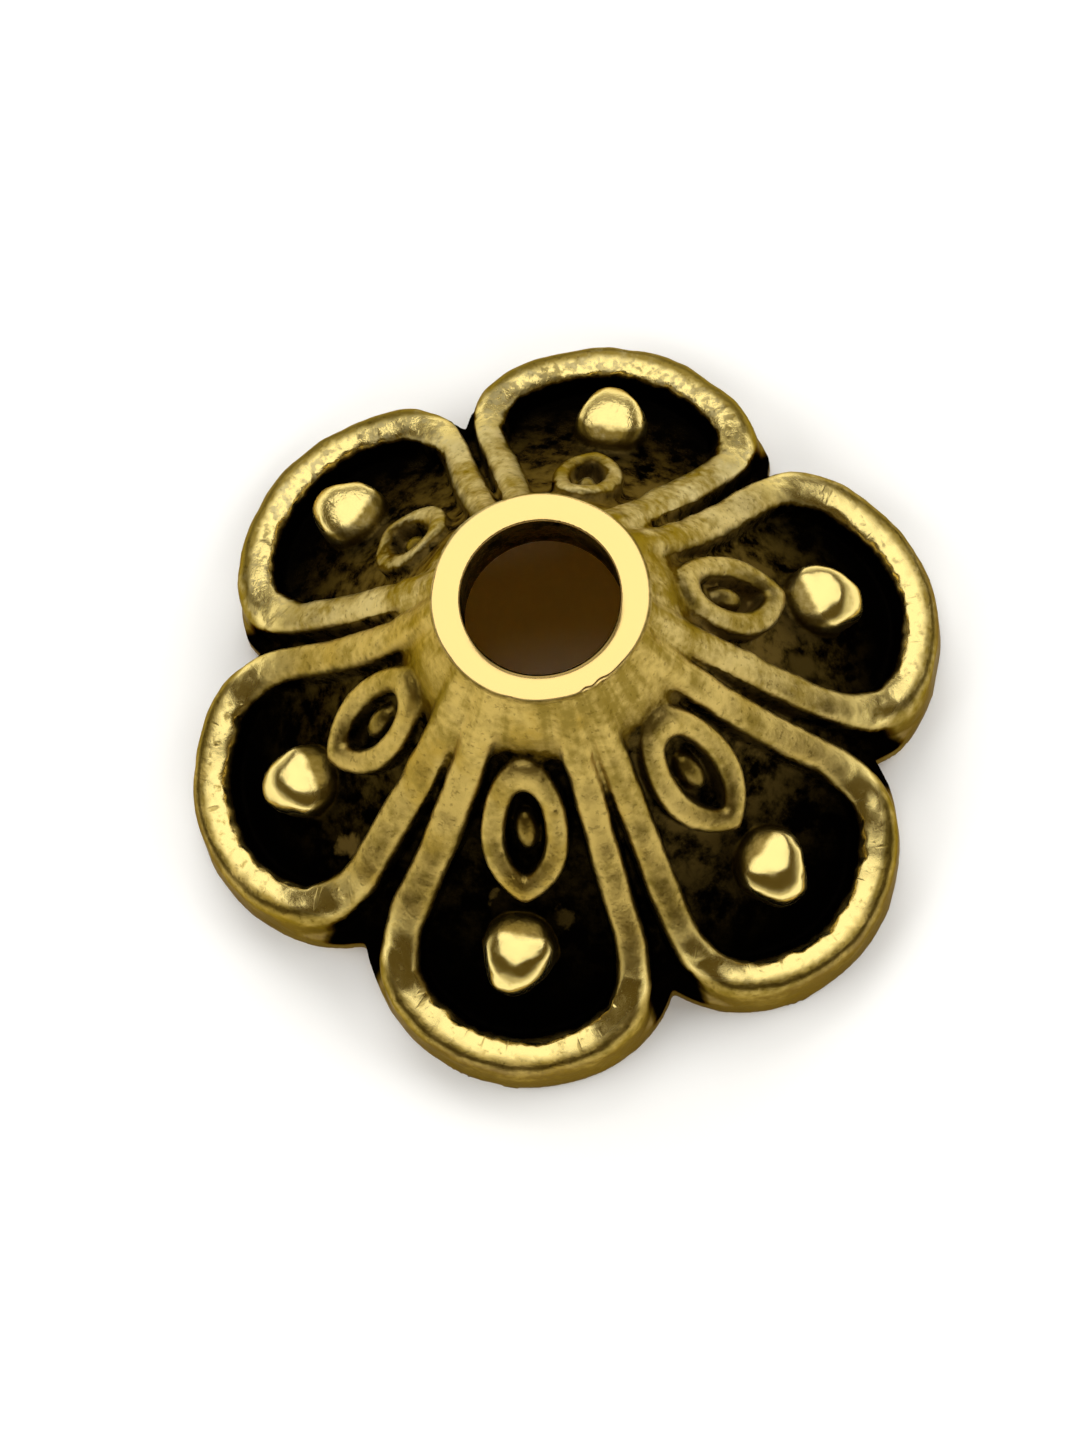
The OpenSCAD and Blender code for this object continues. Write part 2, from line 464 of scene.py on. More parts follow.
def petal_mix(angle, petal, name):
    """One of the petals' differences, with a smooth mix of two petals' values between them."""
    along = petals_past(angle, petal)
    values = np.array([differences[name] for differences in PETAL_DIFFERENCES])
    before = along.astype(int) % petal.count
    share = step_up(along - np.floor(along), *PETAL_BLEND)
    return values[before] * (1 - share) + values[(before + 1) % petal.count] * share


# The most that an ornament is turned on its own petal, in degrees
ORNAMENT_TURNS = {"almond_ring": 4, "grain": 15, "granule": 25}


def copy_round(piece, petal, shift="", slope=0.0, size=""):
    """Copies a piece to every petal, each with its own mesh, shift down the slope, small turn and size."""
    chance = random.Random(piece.name)
    middle = sum((v.co for v in piece.data.vertices), Vector()) / len(piece.data.vertices)
    most = math.radians(ORNAMENT_TURNS.get(piece.name, 0))
    copies = []
    for i, differences in enumerate(PETAL_DIFFERENCES):
        take(piece)
        bpy.ops.object.duplicate(linked=False)
        copy = bpy.context.object
        copy.name = f"{piece.name}_{i + 1}"
        out = differences.get(shift, 0.0)
        grown = Matrix.Identity(4)
        if size:
            across, along = differences[size], differences["ring_length"]
            grown = Matrix.Diagonal((across * along, across, across * along, 1.0))
        step = Matrix.Translation((out * math.cos(slope), 0, -out * math.sin(slope)))
        turned = Matrix.Rotation(most * chance.uniform(-1, 1), 4, "Z")
        own = Matrix.Translation(middle) @ turned @ grown @ Matrix.Translation(-middle)
        place = Matrix.Rotation(petal.first_angle + 2 * math.pi * i / petal.count, 4, "Z")
        copy.data.transform(place @ step @ own)
        copies.append(copy)
    bpy.data.objects.remove(piece)
    return copies


# How far the collar's walls and foot are let into the neck, and how far the bell is spun past the lobes
# that it is cut to, in millimetres
COLLAR_SEAT = 0.05
SHELL_OVER = 0.03
# Sides of the turned pieces, and steps along the outer flare and the hollow's wall
TURN_STEPS = {"shell": 192, "lobes": 360, "collar": 256, "flare": 60, "hollow": 30}


class CAP_OT_shell(Operator):
    """Spins the bell with its neck and hollow, and cuts it to the six lobes"""
    bl_idname = "cap.shell"
    bl_label = "Shell"

    def execute(self, context):
        cap, petal = context.scene.cap_sizes, context.scene.petal_sizes
        flare, hollow = Flare(cap), hollow_centre(cap)
        bore = cap.bore_radius / MM + COLLAR_SEAT
        bore_end = (cap.height - cap.bore_length) / MM
        rim = (cap.tip_radius - cap.rim_width) / MM
        roof = bore + cap.hollow_step / MM
        outer = cap.tip_radius / MM + SHELL_OVER
        floor = [(r, flare.height(r, flare.relief(r, petal)))
                 for r in np.linspace(flare.neck.x, outer, TURN_STEPS["flare"])]
        wall = [(r, hollow.y - math.sqrt((cap.hollow_radius / MM) ** 2 - (r - hollow.x) ** 2))
                for r in np.linspace(rim, roof, TURN_STEPS["hollow"])]
        seat = flare.neck.y + COLLAR_SEAT
        profile = [(bore, bore_end), (bore, seat), (flare.neck.x, seat)] + floor + [(outer, 0.0)] + wall
        shell = spin_profile("shell", profile, TURN_STEPS["shell"])
        fills = petal_mix(polar(read_places(shell.data))[1], petal, "fill")
        for vert, fill in zip(shell.data.vertices, fills):
            r = vert.co.xy.length
            if r > flare.neck.x and vert.co.z > flare.height(r, petal.relief / MM) - COLLAR_SEAT:
                vert.co.z = flare.height(r, flare.relief(r, petal, fill))

        lobes = add_primitive("cylinder", "lobes", vertices=TURN_STEPS["lobes"], depth=2 * cap.height / MM)
        lobe = Lobe(cap, petal)
        for vert in lobes.data.vertices:
            angle = math.atan2(vert.co.y, vert.co.x)
            reach = lobe.reach(petal_offsets(angle, petal))
            vert.co = (reach * math.cos(angle), reach * math.sin(angle), vert.co.z)
        apply_modifier(shell, "BOOLEAN", operation="INTERSECT", solver="EXACT", object=lobes)
        bpy.data.objects.remove(lobes)
        return {"FINISHED"}


# How much the polishing has crowned the collar's flat top, in millimetres
COLLAR_CROWN = 0.006
# Rounding of the collar's two edges, in millimetres, and the steps of each
COLLAR_ROUNDING = {"bore": 0.03, "outside": 0.05}
COLLAR_STEPS = {"bore": 6, "outside": 8}
# Where the collar's section has points up the bore's wall and across the flat, as shares of each
BORE_POINTS = (0.0, 0.3, 0.6, 0.8, 0.9)
FLAT_POINTS = (0.06, 0.12, 0.2, 0.3, 0.4, 0.6, 0.8)
# The side on which the bore's edge is worn down most, in degrees, how deep, how wide and how far down the
# wall, in millimetres, and how near that side (1 is on it) the wear begins and is full
LIP_WEAR = {"side": 292, "depth": 0.10, "width": 0.12, "reach": 0.20, "zone": (-0.2, 0.9)}
# Small dents in the collar's outside, as angle and width in degrees and share of the radius
COLLAR_CHIPS = (
    {"angle": 306, "width": 3.0, "depth": 0.022},
    {"angle": 316, "width": 4.0, "depth": 0.026},
    {"angle": 262, "width": 5.0, "depth": 0.012},
)
# Slight waves of the collar's hand-filed outside, as: waves in a turn, share of the radius, start
COLLAR_WAVES = ((3, 0.006, 0.5), (7, 0.004, 2.0), (17, 0.0015, 1.0))


class CAP_OT_collar(Operator):
    """Spins the flat collar with the bore's wall, with edges that the polishing has rounded"""
    bl_idname = "cap.collar"
    bl_label = "Collar"

    def execute(self, context):
        cap = context.scene.cap_sizes
        top, bore, collar = cap.height / MM - COLLAR_CROWN, cap.bore_radius / MM, cap.collar_radius / MM
        bore_end, lip = (cap.height - cap.bore_length) / MM, cap.collar_lip / MM
        foot = (cap.height - cap.collar_thick) / MM - lip / 2
        inner, outer = COLLAR_ROUNDING["bore"], COLLAR_ROUNDING["outside"]
        edge_in = arc_points(Vector((bore + inner, top - inner)), inner, math.pi, math.pi / 2,
                             COLLAR_STEPS["bore"])
        edge_out = arc_points(Vector((collar - outer, top - outer)), outer, math.pi / 2, 0.0,
                              COLLAR_STEPS["outside"])
        root = bore + 2 * COLLAR_SEAT
        bore_wall = [(bore, bore_end + share * (top - inner - bore_end)) for share in BORE_POINTS]
        width = collar - bore - inner - outer
        flat = [(bore + inner + share * width, top + COLLAR_CROWN * math.sin(math.pi * share))
                for share in FLAT_POINTS]
        profile = ([(root, bore_end)] + bore_wall + [tuple(p) for p in edge_in] + flat
                   + [tuple(p) for p in edge_out] + [(collar - lip, foot), (root, foot)])
        ring = spin_profile("collar", profile, TURN_STEPS["collar"])
        self.wear(ring, bore, collar, top)
        return {"FINISHED"}

    def wear(self, ring, bore, collar, top):
        """Waves and dents the outside, and wears down the bore's edge on one side."""
        places = read_places(ring.data)
        r, angle = polar(places)
        outside = step_up(r, bore, collar)
        for waves, depth, start in COLLAR_WAVES:
            places[:, :2] *= (1 + depth * np.sin(waves * angle + start) * outside)[:, None]
        for chip in COLLAR_CHIPS:
            off = np.degrees(angle) % 360 - chip["angle"]
            places[:, :2] *= (1 - chip["depth"] * np.exp(-(off / chip["width"]) ** 2) * outside)[:, None]
        worn = step_up(np.cos(angle - math.radians(LIP_WEAR["side"])), *LIP_WEAR["zone"])
        low = 1 - step_up(r, bore - LIP_WEAR["width"], bore + LIP_WEAR["width"])
        high = step_up(places[:, 2], top - LIP_WEAR["reach"], top - COLLAR_ROUNDING["bore"])
        places[:, 2] -= LIP_WEAR["depth"] * worn * low * high
        write_places(ring.data, places)


# Section of a ridge from its outer to its inner edge, along a petal's sides and round its tip. A row
# gives, for each of the two, the share of the width and the height above the crest in millimetres, and
# then the lean from vertical (0) to square to the slope (1). Round the tip the ridge has a level top.
RIDGE_SECTION = (
    (0.00, -0.240, 0.000, -0.180, 0.0),
    (0.03, -0.140, 0.010, 0.070, 0.0),
    (0.08, -0.075, 0.050, 0.118, 0.1),
    (0.16, -0.030, 0.120, 0.147, 0.2),
    (0.26, -0.005, 0.210, 0.158, 0.3),
    (0.38, 0.010, 0.310, 0.153, 0.4),
    (0.50, 0.013, 0.440, 0.130, 0.5),
    (0.62, 0.010, 0.580, 0.100, 0.6),
    (0.74, -0.005, 0.720, 0.068, 0.7),
    (0.84, -0.030, 0.840, 0.038, 0.8),
    (0.92, -0.075, 0.933, 0.007, 0.9),
    (0.97, -0.140, 0.985, -0.070, 1.0),
    (1.00, -0.320, 1.000, -0.340, 1.0),
    (1.00, -0.500, 1.000, -0.500, 1.0),
)
# How deep the ridge's foot is rooted below the crest at the tip, and below the floor elsewhere, in
# millimetres
TIP_ROOT = 0.60
SIDE_ROOT = 0.12
# Where the ridge goes over from its side section to its tip section, as how far it faces outward, and
# the distance from the axis beyond which it can do so, in millimetres
TIP_ZONE = (0.45, 1.0)
TIP_START = 2.5


class CAP_OT_ridges(Operator):
    """Sweeps the raised roll round one petal and copies it to the others"""
    bl_idname = "cap.ridges"
    bl_label = "Ridges"

    def execute(self, context):
        cap, petal = context.scene.cap_sizes, context.scene.petal_sizes
        flare = Flare(cap)
        plain = petal_loop(cap, petal, 0.0)
        inner = petal_loop(cap, petal, petal.tip_width / MM)
        shares = []
        for p, q in zip(plain, inner):
            facing = (p - q).normalized().dot(p.normalized())
            shares.append(float(step_up(facing, *TIP_ZONE)) if p.x > TIP_START else 0.0)
        root = []
        for p, share in zip(plain, shares):
            deep = flare.relief(p.length, petal) + SIDE_ROOT
            root.append(flare.lay(p.x, p.y, -deep - (TIP_ROOT - deep) * share, 0.0))
        loops = [root]
        for side_across, side_up, tip_across, tip_up, lean in RIDGE_SECTION:
            side_loop = petal_loop(cap, petal, side_across * petal.side_width / MM)
            tip_loop = petal_loop(cap, petal, tip_across * petal.tip_width / MM)
            loop = []
            for side, end, share in zip(side_loop, tip_loop, shares):
                x, y = side.lerp(end, share)
                up = side_up + (tip_up - side_up) * share
                deepest = flare.relief(math.hypot(x, y), petal) + SIDE_ROOT
                loop.append(flare.lay(x, y, max(up, -deepest), lean))
            loops.append(loop)
        for loop in loops:
            for point in loop:
                point.z = max(point.z, 0.0)
        for copy in copy_round(sweep_ring("ridge", loops), petal):
            displace(copy, "bends", context.scene.cast_settings.bends)
        return {"FINISHED"}


# Section of an almond ring, as: share of the wall from the outer to the inner edge, and height above
# the crest in millimetres
RING_SECTION = (
    (-0.02, -0.50),
    (-0.02, -0.26),
    (0.00, -0.14),
    (0.06, -0.07),
    (0.20, -0.025),
    (0.40, -0.005),
    (0.60, -0.005),
    (0.80, -0.025),
    (0.94, -0.07),
    (1.00, -0.14),
    (1.03, -0.26),
    (1.03, -0.50),
)
# How pointed the almond's ends are: 1 gives an oval, and more draws the flanks in towards the end
ALMOND_POINT = {"hub": 0.9, "tip": 1.5}
# How much wider the ring's wall is at its ends than at its sides, and how many points go round it
ALMOND_END = 1.3
ALMOND_STEPS = 72
# How far the grain's middle is above the floor, in millimetres
GRAIN_RISE = 0.08
# Sides and rings of the balls that the grain and the granule start from
GRAIN_BALL = {"segments": 24, "ring_count": 12}
GRANULE_BALL = {"segments": 48, "ring_count": 32}


class CAP_OT_almond_rings(Operator):
    """Sweeps the pointed ring near the hub, sets a grain inside it and copies both to every petal"""
    bl_idname = "cap.almond_rings"
    bl_label = "Almond Rings"

    def execute(self, context):
        petal, sizes = context.scene.petal_sizes, context.scene.ornament_sizes
        flare = Flare(context.scene.cap_sizes)
        at = sizes.ring_distance / MM
        slope = flare.slope(at)
        half_width, half_length = sizes.ring_width / 2 / MM, sizes.ring_length / 2 / MM
        wall = sizes.ring_wall / MM
        turns = [2 * math.pi * i / ALMOND_STEPS for i in range(ALMOND_STEPS)]

        def almond(inset):
            """Plan of the almond set in from its outer edge."""
            along = [(half_length - ALMOND_END * inset) * math.cos(t) * math.cos(slope) for t in turns]
            across = []
            for t in turns:
                share = abs(math.sin(t)) ** ALMOND_POINT["tip" if math.cos(t) > 0 else "hub"]
                across.append(math.copysign((half_width - inset) * share, math.sin(t)))
            return [Vector((at + a, b)) for a, b in zip(along, across)]

        loops = [[flare.lay(p.x, p.y, up) for p in almond(share * wall)] for share, up in RING_SECTION]
        copy_round(sweep_ring("almond_ring", loops), petal, "ring", slope, "ring_size")

        grain = add_primitive("uv_sphere", "grain", **GRAIN_BALL)
        wide, long = sizes.grain_width / 2 / MM, sizes.grain_length / 2 / MM
        seat = flare.lay(at, 0.0, GRAIN_RISE - petal.relief / MM)
        grain.data.transform(Matrix.Translation(seat) @ Matrix.Rotation(slope, 4, "Y")
                             @ Matrix.Diagonal((long, wide, wide, 1.0)))
        copy_round(grain, petal, "ring", slope, "ring_size")
        return {"FINISHED"}


# How far a granule's round section goes over to a square one (2 is round), and its rise and its root as
# shares of its radius
GRANULE_SHAPE = {"square": 3.4, "rise": 0.86, "root": 0.4}
# A granule's tail, as shares of its radius: how far out and how near its waist it is taken hold of, how
# much it is drawn down, and how far the pull is felt
GRANULE_TAIL = {"out": 0.93, "waist": 0.25, "drop": 0.1, "reach": 0.9}
# How far a granule's middle is above the floor, in millimetres, and the share of the slope that it leans
GRANULE_SEAT = {"rise": 0.02, "lean": 0.12}


class CAP_OT_granules(Operator):
    """Shapes one polished granule with a flat top and a drawn-out tail, and copies it to every petal"""
    bl_idname = "cap.granules"
    bl_label = "Granules"

    def execute(self, context):
        petal, sizes = context.scene.petal_sizes, context.scene.ornament_sizes
        flare = Flare(context.scene.cap_sizes)
        radius = sizes.granule_radius / MM
        granule = add_primitive("uv_sphere", "granule", radius=radius, **GRANULE_BALL)
        power = GRANULE_SHAPE["square"]
        for vert in granule.data.vertices:
            around = vert.co.xy.length
            vert.co *= radius / (around ** power + abs(vert.co.z) ** power) ** (1 / power)
            vert.co.z *= GRANULE_SHAPE["rise" if vert.co.z > 0 else "root"]
        bpy.ops.object.mode_set(mode="EDIT")
        bpy.ops.mesh.select_mode(type="VERT")
        bpy.ops.mesh.select_all(action="DESELECT")
        mesh = bmesh.from_edit_mesh(granule.data)
        outermost, waist = GRANULE_TAIL["out"] * radius, GRANULE_TAIL["waist"] * radius
        for vert in mesh.verts:
            vert.select = vert.co.x > outermost and abs(vert.co.z) < waist
        mesh.select_flush(True)
        bmesh.update_edit_mesh(granule.data)
        pull = (sizes.granule_tail / MM, 0, -GRANULE_TAIL["drop"] * radius)
        bpy.ops.transform.translate(value=pull, use_proportional_edit=True,
                                    proportional_edit_falloff="SMOOTH",
                                    proportional_size=GRANULE_TAIL["reach"] * radius)
        bpy.ops.object.mode_set(mode="OBJECT")
        at = sizes.granule_distance / MM
        slope = flare.slope(at)
        seat = flare.lay(at, 0.0, GRANULE_SEAT["rise"] - petal.relief / MM)
        lean = Matrix.Rotation(GRANULE_SEAT["lean"] * slope, 4, "Y")
        granule.data.transform(Matrix.Translation(seat) @ lean)
        for copy in copy_round(granule, petal, "granule", slope):
            displace(copy, "lumps", sizes.granule_lumps)
        return {"FINISHED"}


def nearest_distances(pieces, points):
    """Distance from each point to the nearest surface of some pieces."""
    corners, faces = [], []
    for piece in pieces:
        faces += [[len(corners) + i for i in face.vertices] for face in piece.data.polygons]
        corners += [v.co for v in piece.data.vertices]
    tree = BVHTree.FromPolygons(corners, faces)
    return np.array([tree.find_nearest(point)[3] for point in points])


# Marks that mark_places stores in the casting's mesh and the metal reads
MARKS = ("depth", "inset", "groove", "inner", "polish", "care", "height", "ornament", "radius", "tarnish",
         "swing")


class Places:
    """Where a mesh's vertices lie, in millimetres, from the cap's axis and from the nearest petal's lobe."""

    def __init__(self, mesh, cap, petal):
        self.points = read_places(mesh)
        self.radius, self.angle = polar(self.points)
        self.off = petal_offsets(self.angle, petal)
        self.lobe = Lobe(cap, petal)
        along = self.radius * np.cos(self.off) - self.lobe.middle
        across = self.radius * np.sin(self.off)
        self.inset = self.lobe.radius - np.hypot(along, across)
        self.swing = np.arctan2(across, along)


# Where polish begins and is full: from the axis, below the crest where it ends, and in from the edge, all
# in millimetres
POLISH_ZONE = {"radius": (3.4, 4.2), "depth": (0.0, 0.08), "inset": (0.14, 0.22)}


def mark_places(mesh, cap, petal, ornament):
    """Stores where each vertex lies on the cap, in millimetres, for the metal's patina, polish and painted
    light and shade.
    """
    flare, hollow, at = Flare(cap), hollow_centre(cap), Places(mesh, cap, petal)
    height = at.points[:, 2]
    depth = np.hypot(at.radius - flare.centre.x, height - flare.centre.y) - flare.radius
    polish = (step_up(at.radius, *POLISH_ZONE["radius"]) * (1 - step_up(depth, *POLISH_ZONE["depth"]))
              * step_up(at.inset, *POLISH_ZONE["inset"]))
    lobes_before = np.round((at.angle - at.off) / (2 * math.pi / petal.count))
    groove = at.radius * np.sin(math.pi / petal.count - np.abs(at.off))
    inner = cap.hollow_radius / MM - np.hypot(at.radius - hollow.x, height - hollow.y)
    care, tarnish = petal_mix(at.angle, petal, "polish"), petal_mix(at.angle, petal, "tarnish")
    swing = at.swing + 2 * math.pi * lobes_before
    marks = (depth, at.inset, groove, inner, polish, care, height, ornament, at.radius, tarnish, swing)
    for name, values in zip(MARKS, marks):
        attribute = mesh.attributes.new(name, "FLOAT", "POINT")
        attribute.data.foreach_set("value", values.astype(np.float32))


# Where the tips are nicked: how far they face outward, where that begins as shares of the ridge's width,
# and where it ends past that width, in millimetres
NICK_ZONE = {"facing": (0.25, 0.55), "width": (0.3, 0.9), "past": (0.05, 0.15)}
# The two noises that nick them: nicks to the millimetre and strength
NICK_NOISES = ((4.5, 1.0), (11.0, 0.6))
# The share of the nicks from which a vertex is moved at all
NICK_LEAST = 0.01


def nick_tips(mesh, cap, petal, depth):
    """Roughens the inner edges of the tip ridges and dents their crests, as wear on a casting does."""
    at = Places(mesh, cap, petal)
    edge = petal.tip_width / MM
    begin, full = NICK_ZONE["width"]
    past, end = NICK_ZONE["past"]
    share = (step_up(np.cos(at.swing), *NICK_ZONE["facing"]) * step_up(at.inset, begin * edge, full * edge)
             * (1 - step_up(at.inset, edge + past, edge + end)))
    touched = np.flatnonzero(share > NICK_LEAST)
    points = [Vector(point) for point in at.points[touched]]
    wander = np.array([sum(strength * noise.noise(point * scale) for scale, strength in NICK_NOISES)
                       for point in points])
    middle = at.angle[touched] - at.off[touched]
    away = at.points[touched, :2] - at.lobe.middle * np.stack((np.cos(middle), np.sin(middle)), axis=1)
    away /= np.linalg.norm(away, axis=1)[:, None]
    at.points[touched, :2] += away * (share[touched] * wander * depth)[:, None]
    write_places(mesh, at.points)


# How far the grooves are pinched shut towards their notches, from the first one on, in degrees; where
# along the radius that begins and is complete, in millimetres; and which angles from a petal's middle
# it moves: from the first on, the second most and the third no more
GROOVE_PINCH = (2.2, 2.0, 1.8, 0.0, 0.0, 0.8)
PINCH_REACH = (2.3, 3.5)
PINCH_ANGLES = (11.0, 25.5, 30.0)


def turn_petals(mesh, petal):
    """Turns each petal by its own small angle, what lies between two by a mix, and pinches the grooves."""
    places = read_places(mesh)
    x, y = places[:, 0].copy(), places[:, 1].copy()
    r, angle = polar(places)
    off = petal_offsets(angle, petal)
    groove = petals_past(angle, petal).astype(int)
    pinch = np.array(GROOVE_PINCH)[groove % petal.count] * step_up(r, *PINCH_REACH)
    first, most, last = PINCH_ANGLES
    aside = np.degrees(np.abs(off))
    share = np.minimum(step_up(aside, first, most), np.clip((last - aside) / (last - most), 0.0, 1.0))
    turn = np.radians(petal_mix(angle, petal, "turn") + np.sign(off) * pinch * share)
    places[:, 0] = x * np.cos(turn) - y * np.sin(turn)
    places[:, 1] = x * np.sin(turn) + y * np.cos(turn)
    write_places(mesh, places)


# Vertices closer than this are merged once the casting has its final size, in metres
WELD = 1e-6
# Edges that bend more than this are shaded sharp, in degrees
SHARP = 60
# How the names of the pieces begin that are fused; the smooth collar is joined on afterwards
CAST_PIECES = ("shell", "ridge", "almond_ring", "grain", "granule")


class CAP_OT_cast(Operator):
    """Fuses all the pieces into one skin, softens and roughens it as a casting and brings it to metres"""
    bl_idname = "cap.cast"
    bl_label = "Cast"

    def execute(self, context):
        scene = context.scene
        cast = scene.cast_settings
        pieces = [o for o in scene.objects if o.name.startswith(CAST_PIECES)]
        collar = scene.objects["collar"]
        ornaments = [o.copy() for o in pieces if o.name.startswith(("grain", "granule"))]
        for ornament in ornaments:
            ornament.data = ornament.data.copy()
        deselect()
        for piece in pieces:
            piece.select_set(True)
        body = scene.objects["shell"]
        context.view_layer.objects.active = body
        bpy.ops.object.join()
        body.name = body.data.name = "cast_cap"
        apply_modifier(body, "REMESH", mode="VOXEL", voxel_size=cast.voxel / MM, use_smooth_shade=True)
        apply_modifier(body, "SMOOTH", iterations=cast.softening)
        displace(body, "broad", cast.unevenness)
        displace(body, "fine", cast.pitting)
        nick_tips(body.data, scene.cap_sizes, scene.petal_sizes, cast.nicks / MM)
        share = cast.triangles / (2 * len(body.data.polygons))
        apply_modifier(body, "DECIMATE", ratio=min(share, 1.0))
        apply_modifier(body, "BOOLEAN", operation="UNION", solver="MANIFOLD", object=collar)
        bpy.data.objects.remove(collar)
        ornament = nearest_distances(ornaments, [v.co for v in body.data.vertices])
        for piece in ornaments:
            bpy.data.objects.remove(piece)
        mark_places(body.data, scene.cap_sizes, scene.petal_sizes, ornament)
        turn_petals(body.data, scene.petal_sizes)
        body.data.transform(Matrix.Scale(MM, 4))
        low, high = CAD_BOX
        for vert in body.data.vertices:
            vert.co = [min(max(c, a), b) for c, a, b in zip(vert.co, low, high)]
        apply_modifier(body, "WELD", merge_threshold=WELD)
        apply_modifier(body, "TRIANGULATE")
        bpy.ops.object.shade_smooth_by_angle(angle=math.radians(SHARP))
        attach(body, "root")
        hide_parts(NODE)
        return {"FINISHED"}


def new_material(name):
    """A new node material and its Principled BSDF."""
    material = bpy.data.materials.new(name)
    material.use_nodes = True
    return material, material.node_tree.nodes["Principled BSDF"]


class Nodes:
    """Short calls for building a node tree."""

    def __init__(self, tree):
        self.tree = tree

    def add(self, kind, inputs=(), **settings):
        """Adds a node, sets its properties and feeds its inputs with values or sockets."""
        node = self.tree.nodes.new(kind)
        for name, value in settings.items():
            setattr(node, name, value)
        for name, value in dict(inputs).items():
            self.feed(node.inputs[name], value)
        return node

    def feed(self, socket, value):
        """Links a socket or sets a plain value."""
        if isinstance(value, bpy.types.NodeSocket):
            self.tree.links.new(value, socket)
        else:
            socket.default_value = (*value, 1.0) if isinstance(value, Color) else value

    def combine(self, operation, *values, clamp=False):
        """One number from two or more, taken in turn."""
        total = values[0]
        for value in values[1:]:
            total = self.add("ShaderNodeMath", {0: total, 1: value}, operation=operation).outputs[0]
        total.node.use_clamp = clamp
        return total

    def times(self, *values):
        """The product of numbers."""
        return self.combine("MULTIPLY", *values)

    def plus(self, *values, clamp=False):
        """The sum of numbers."""
        return self.combine("ADD", *values, clamp=clamp)

    def less(self, a, b):
        """One number less another."""
        return self.combine("SUBTRACT", a, b)

    def most(self, *values, clamp=False):
        """The largest of numbers."""
        return self.combine("MAXIMUM", *values, clamp=clamp)

    def vector(self, operation, a, b=(0.0, 0.0, 0.0), output="Vector"):
        """One Vector Math node."""
        return self.add("ShaderNodeVectorMath", {0: a, 1: b}, operation=operation).outputs[output]

    def ramp(self, value, low, high, start=0.0, end=1.0):
        """A smooth step from start to end as value goes from low to high."""
        return self.add("ShaderNodeMapRange", {"Value": value, "From Min": low, "From Max": high,
                                               "To Min": start, "To Max": end},
                        interpolation_type="SMOOTHSTEP").outputs["Result"]

    def noise(self, vector, scale, detail=3.0, roughness=0.55):
        """Noise from 0 to 1."""
        return self.add("ShaderNodeTexNoise", {"Vector": vector, "Scale": scale, "Detail": detail,
                                               "Roughness": roughness}).outputs["Fac"]

    def mix(self, factor, a, b):
        """A mix of two colours."""
        node = self.add("ShaderNodeMix", data_type="RGBA")
        for index, value in ((0, factor), (6, a), (7, b)):
            self.feed(node.inputs[index], value)
        return node.outputs[2]


# The metal's noises: features to the metre, and where they aren't the usual ones, detail and roughness.
# Streaks run along rays from the axis and notches along the ridges, so theirs count in other units.
NOISES = {
    "broad": (1500.0,),
    "fine": (9000.0,),
    "grain": (30000.0, 2.0),
    "ragged": (5000.0,),
    "patches": (3200.0, 6.0, 0.66),
    "warmth": (1100.0, 4.0),
    "pitting": (13000.0, 2.0),
    "streaks": (9.0, 4.0),
    "notches": (1.0, 2.0),
}
# Notches for each radian round a lobe and for each millimetre across its ridge
NOTCHES = {"round": 13.0, "across": 1.5}
